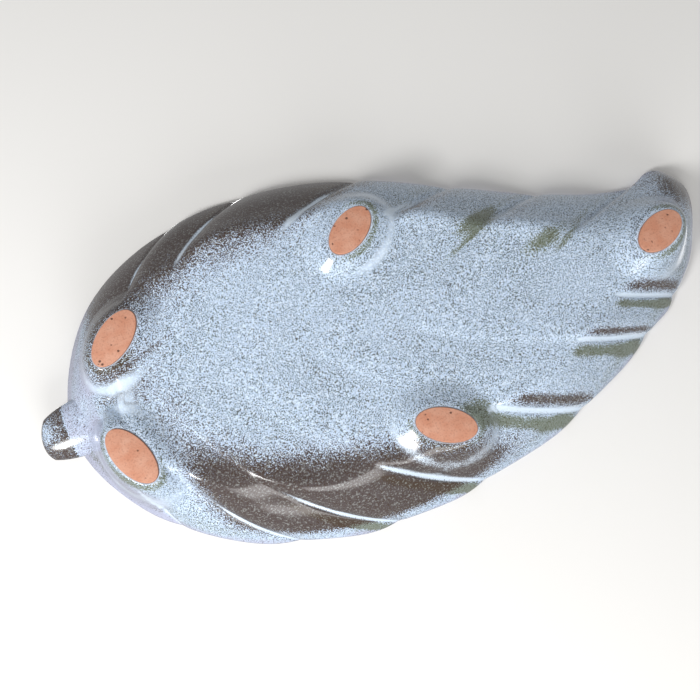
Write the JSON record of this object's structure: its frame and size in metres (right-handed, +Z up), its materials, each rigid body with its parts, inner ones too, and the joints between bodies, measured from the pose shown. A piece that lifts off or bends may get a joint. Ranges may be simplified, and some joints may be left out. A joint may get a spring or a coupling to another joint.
{
  "type": "ring dish",
  "caption": "Shallow leaf-shaped glazed pottery dish with a lobed rim, creased flanks and a blunt stem, resting on low oval feet, for holding rings and small items",
  "frame": {"origin": "Below the centre of the bounding box, on the surface that the dish stands on", "axes": "X along the leaf from its stem to its tip, Z up out of the open inside, Y to the left seen from the stem"},
  "size_m": [0.2208, 0.1172, 0.0289],
  "materials": {
    "blue_glaze": "glossy speckled glaze",
    "brown_glaze": "glossy dark glaze",
    "bare_clay": "unglazed matte clay"
  },
  "bodies": {
    "root": {"leaf_bowl": "blue_glaze", "stem": "brown_glaze", "stem_foot_right": "bare_clay", "stem_foot_left": "bare_clay", "middle_foot_right": "bare_clay", "middle_foot_left": "bare_clay", "tip_foot": "bare_clay"}
  },
  "joints": []
}
